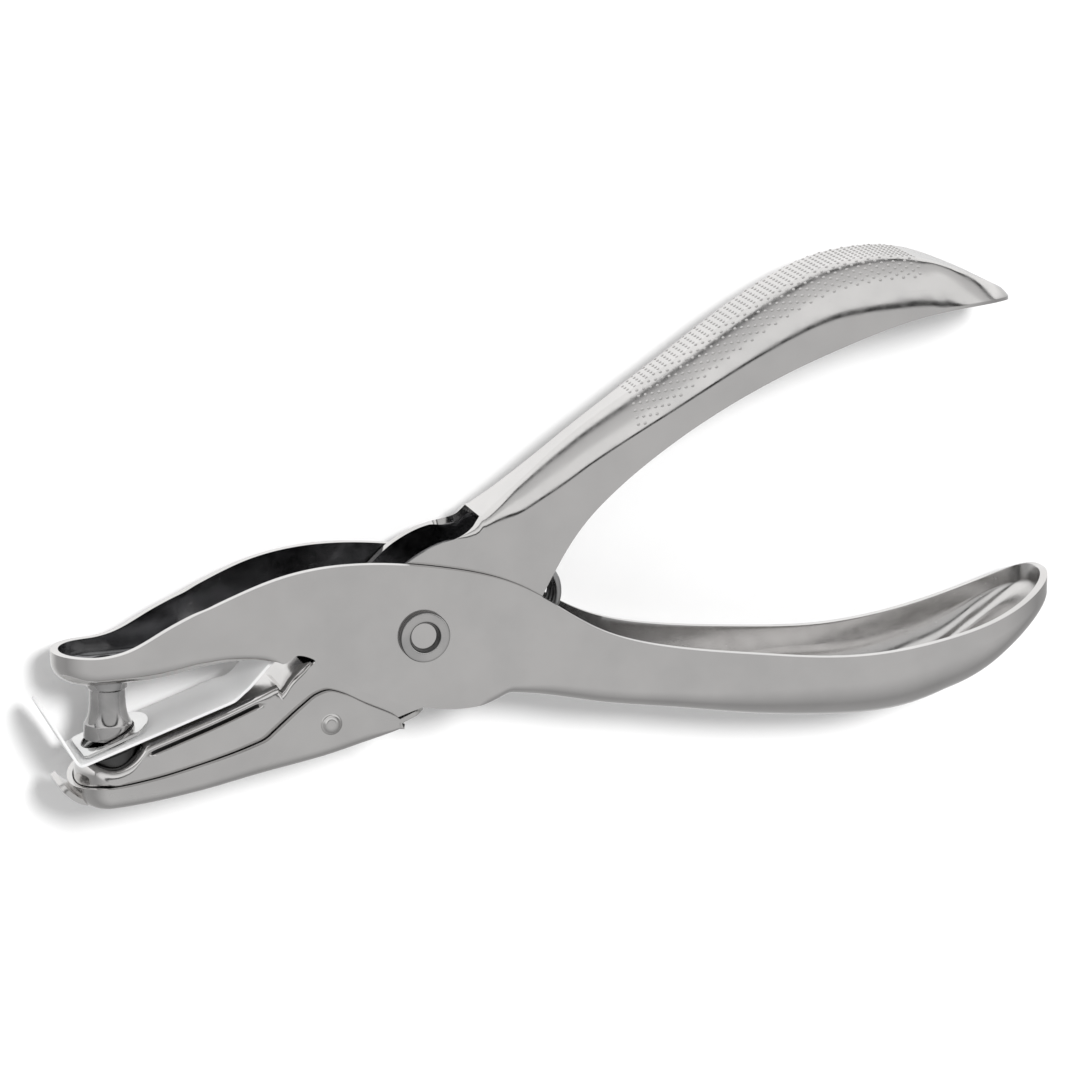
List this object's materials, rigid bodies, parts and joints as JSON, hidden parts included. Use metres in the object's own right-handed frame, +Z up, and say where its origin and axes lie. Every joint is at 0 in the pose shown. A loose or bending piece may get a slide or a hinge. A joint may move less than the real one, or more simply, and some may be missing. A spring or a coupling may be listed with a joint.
{
  "type": "hand hole punch",
  "caption": "Plier-type single-hole hand punch: pressed plated levers on a rivet, waisted punch and die, sprung stripper strip and hinged chip tray.",
  "frame": {"origin": "middle of the surface the punch lies on, under the centre of its bounding box", "axes": "+X from the nose to the handles' ends, +Y from the lower handle to the upper one, +Z up through the pivot rivet"},
  "size_m": [0.1374, 0.0644, 0.0181],
  "materials": {
    "plated_lever": "bright nickel plate with a soft satin reflection",
    "plated_tray": "bright nickel plate",
    "plated_strip": "bright nickel plate",
    "rivet_steel": "plated steel, darkened in the recess",
    "tool_steel": "turned and polished",
    "spring_wire": "drawn wire"
  },
  "bodies": {
    "punch_lever": {"outer_lever": "plated_lever", "pivot_rivet": "rivet_steel", "punch_pin": "tool_steel", "return_spring": "spring_wire"},
    "jaw_lever": {"inner_lever": "plated_lever", "pivot_bush": "tool_steel", "die_bush": "tool_steel", "stripper_plate": "plated_strip", "stripper_pad": "plated_strip"},
    "tray": {"chip_tray": "plated_tray"}
  },
  "joints": [
    {"name": "squeeze", "type": "hinge", "parent": "punch_lever", "child": "jaw_lever", "pos_m": [-0.01931, -0.01288, 0.00906], "axis": [0, 0, -1], "range_deg": [0, 6.4], "stiffness_Nm_per_rad": 0.8, "springref_deg": -28.65, "deforming": ["return_spring"]},
    {"name": "tray_open", "type": "hinge", "parent": "jaw_lever", "child": "tray", "pos_m": [-0.01871, -0.02348, 0.00906], "axis": [0, 0, 1], "range_deg": [0, 38]}
  ]
}
